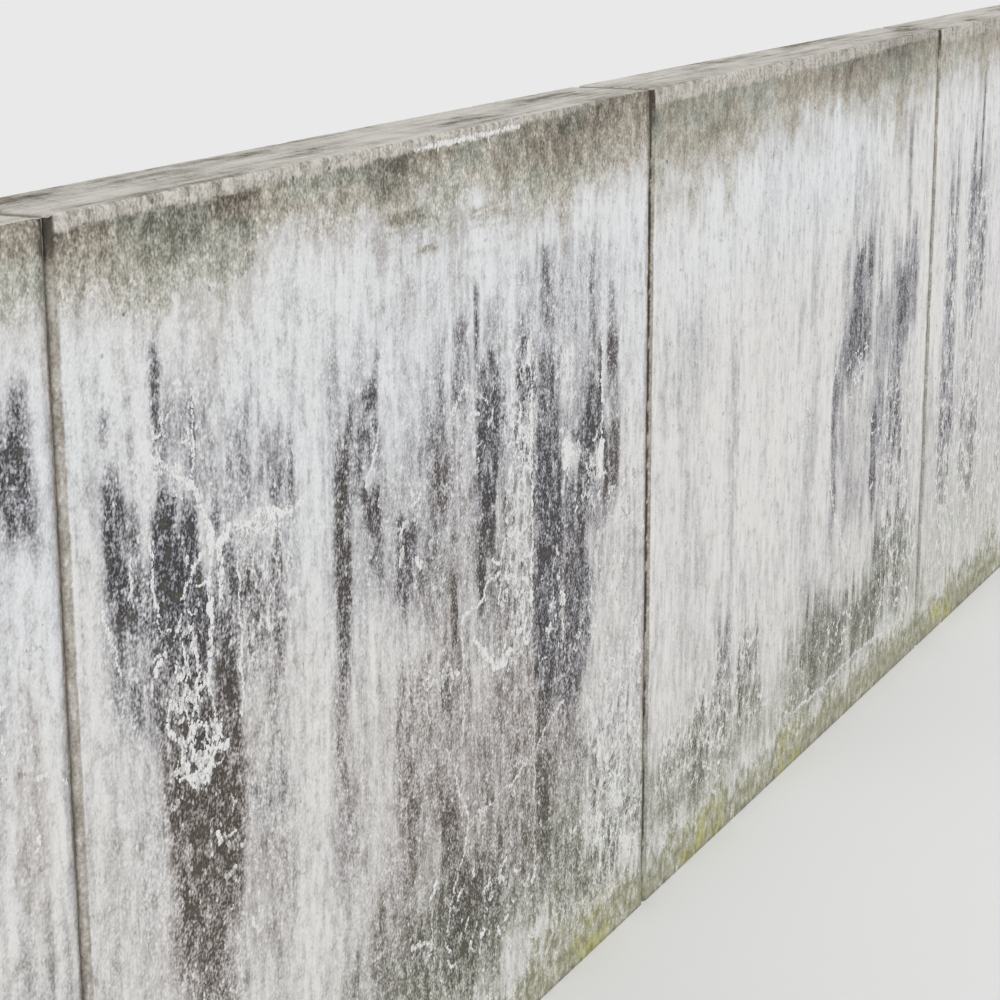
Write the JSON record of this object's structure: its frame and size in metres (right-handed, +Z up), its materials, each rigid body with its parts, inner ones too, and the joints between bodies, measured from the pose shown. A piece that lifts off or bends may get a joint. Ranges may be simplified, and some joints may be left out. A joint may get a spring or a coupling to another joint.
{
  "type": "highway noise barrier",
  "caption": "Straight run of thick cast concrete noise barrier panels on a flat foot, with open grooved and sealed joints and weather-streaked faces.",
  "frame": {"origin": "middle of the footprint, level with the underside of the panels, at the joint between the two middle panels", "axes": "+X along the wall to the right as seen from the road, +Z up, road face towards -Y"},
  "size_m": [14.992, 0.22, 2.215],
  "materials": {
    "concrete": "matte",
    "joint_board": "matte",
    "joint_seal": "matte"
  },
  "bodies": {
    "root": {"panel_1": "concrete", "panel_2": "concrete", "panel_3": "concrete", "panel_4": "concrete", "panel_5": "concrete", "panel_6": "concrete", "joint_1_board": "joint_board", "joint_1_front_seal": "joint_seal", "joint_1_top_seal": "joint_seal", "joint_1_back_seal": "joint_seal", "joint_2_board": "joint_board", "joint_2_front_seal": "joint_seal", "joint_2_top_seal": "joint_seal", "joint_2_back_seal": "joint_seal", "joint_3_board": "joint_board", "joint_3_front_seal": "joint_seal", "joint_3_top_seal": "joint_seal", "joint_3_back_seal": "joint_seal", "joint_4_board": "joint_board", "joint_4_front_seal": "joint_seal", "joint_4_top_seal": "joint_seal", "joint_4_back_seal": "joint_seal", "joint_5_board": "joint_board", "joint_5_front_seal": "joint_seal", "joint_5_top_seal": "joint_seal", "joint_5_back_seal": "joint_seal"}
  },
  "joints": []
}
